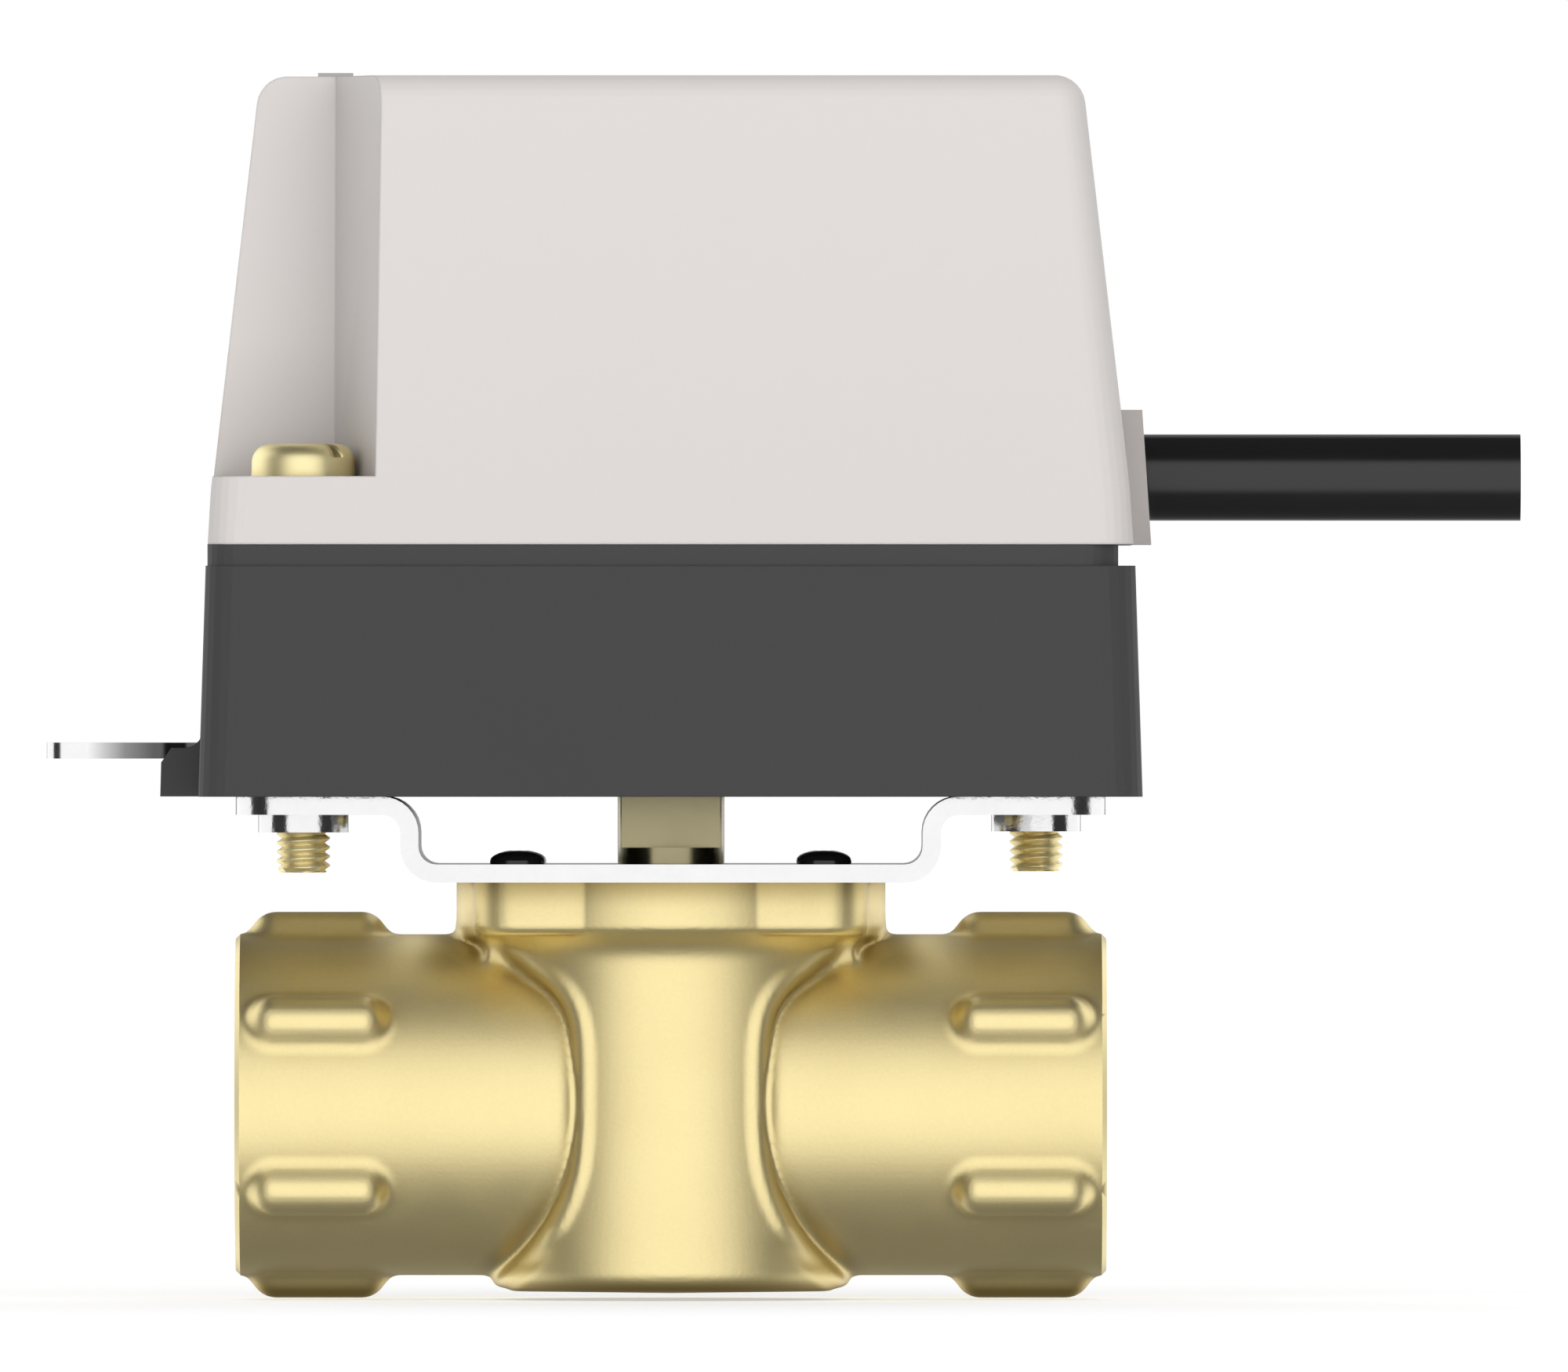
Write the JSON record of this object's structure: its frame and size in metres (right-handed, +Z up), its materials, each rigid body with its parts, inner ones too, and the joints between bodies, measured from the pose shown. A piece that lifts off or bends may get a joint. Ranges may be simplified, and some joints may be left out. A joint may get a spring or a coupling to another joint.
{
  "type": "motorized zone valve",
  "caption": "Two-way ball valve with threaded ends, a steel bracket and an electric head with gear motor, manual lever and cable.",
  "frame": {"origin": "centre of the inlet's end face, on the pipe axis", "axes": "+X along the pipe from inlet to outlet, +Z up along the stem to the head, +Y across, away from the picture's viewer"},
  "size_m": [0.1639, 0.066, 0.1362],
  "materials": {
    "brass": "blasted forging",
    "brass_turned": "turned",
    "plated_ball": "polished",
    "ptfe": "smooth",
    "rubber": "smooth",
    "zinc_sheet": "zinc plated",
    "zinc_small": "zinc plated",
    "black_screw": "black, polished",
    "base_dark": "fine matte",
    "cover_pale": "fine matte",
    "window_grey": "smooth",
    "grommet_grey": "matte",
    "cable_black": "satin",
    "core_plastic": "smooth, one colour a core",
    "inner_dark": "moulded",
    "inner_pale": "moulded",
    "cam_red": "moulded",
    "cam_green": "moulded",
    "motor_steel": "drawn, plated",
    "lead_blue": "smooth",
    "capacitor_ochre": "dipped"
  },
  "bodies": {
    "valve": {"valve_body": "brass", "seat_inlet": "ptfe", "seat_outlet": "ptfe", "seat_retainer": "brass_turned", "thrust_washer": "ptfe", "bracket": "zinc_sheet", "bracket_screws": "black_screw", "clinch_nuts": "zinc_small", "head_screws": "brass_turned", "head_base": "base_dark", "head_cover": "cover_pale", "status_window": "window_grey", "cable_grommet": "grommet_grey", "cable_sheath": "cable_black", "cable_cores": "core_plastic", "clamp_seat": "inner_dark", "cord_clamp": "inner_dark", "clamp_screws": "zinc_small", "terminal_block": "inner_pale", "terminal_screws": "zinc_small", "run_capacitor": "capacitor_ochre", "motor_leads": "lead_blue", "chassis_plate": "zinc_sheet", "plate_screws": "zinc_small", "motor_gearbox": "motor_steel", "motor_can": "motor_steel", "motor_screws": "zinc_small", "switch_closed": "inner_dark", "switch_open": "inner_dark", "switch_spacer": "inner_pale", "switch_screws": "zinc_small", "lever_pin": "zinc_small", "lever_clip": "zinc_small"},
    "stem": {"valve_stem": "brass_turned", "ball": "plated_ball", "stem_orings": "rubber", "output_hub": "inner_pale", "sector_gear": "zinc_sheet", "cam_closed": "cam_red", "cam_open": "cam_green"},
    "pinion": {"motor_pinion": "inner_pale", "motor_shaft": "zinc_small"},
    "lever": {"manual_lever": "zinc_sheet"},
    "plunger_closed": {"plunger_closed": "cam_red"},
    "plunger_open": {"plunger_open": "cam_red"}
  },
  "joints": [
    {"name": "stem_turn", "type": "hinge", "parent": "valve", "child": "stem", "pos_m": [0.0484, 0, 0], "axis": [0, 0, 1], "range_deg": [0, 90]},
    {"name": "pinion_turn", "type": "hinge", "parent": "valve", "child": "pinion", "pos_m": [0.0224, 0, 0.0485], "axis": [0, 0, 1], "range_deg": [-202.5, 0]},
    {"name": "lever_swing", "type": "hinge", "parent": "valve", "child": "lever", "pos_m": [0.0124, 0, 0.0394], "axis": [0, 0, 1], "range_deg": [-45, 0]},
    {"name": "plunger_closed_press", "type": "slide", "parent": "valve", "child": "plunger_closed", "axis": [1, 0, 0], "range_m": [0, 0.001], "stiffness_N_per_m": 150},
    {"name": "plunger_open_press", "type": "slide", "parent": "valve", "child": "plunger_open", "axis": [1, 0, 0], "range_m": [0, 0.001], "stiffness_N_per_m": 150}
  ],
  "couplings": [
    {"joint": "pinion_turn", "follows": "stem_turn", "ratio": -2.25},
    {"joint": "lever_swing", "follows": "stem_turn", "ratio": -0.5}
  ]
}
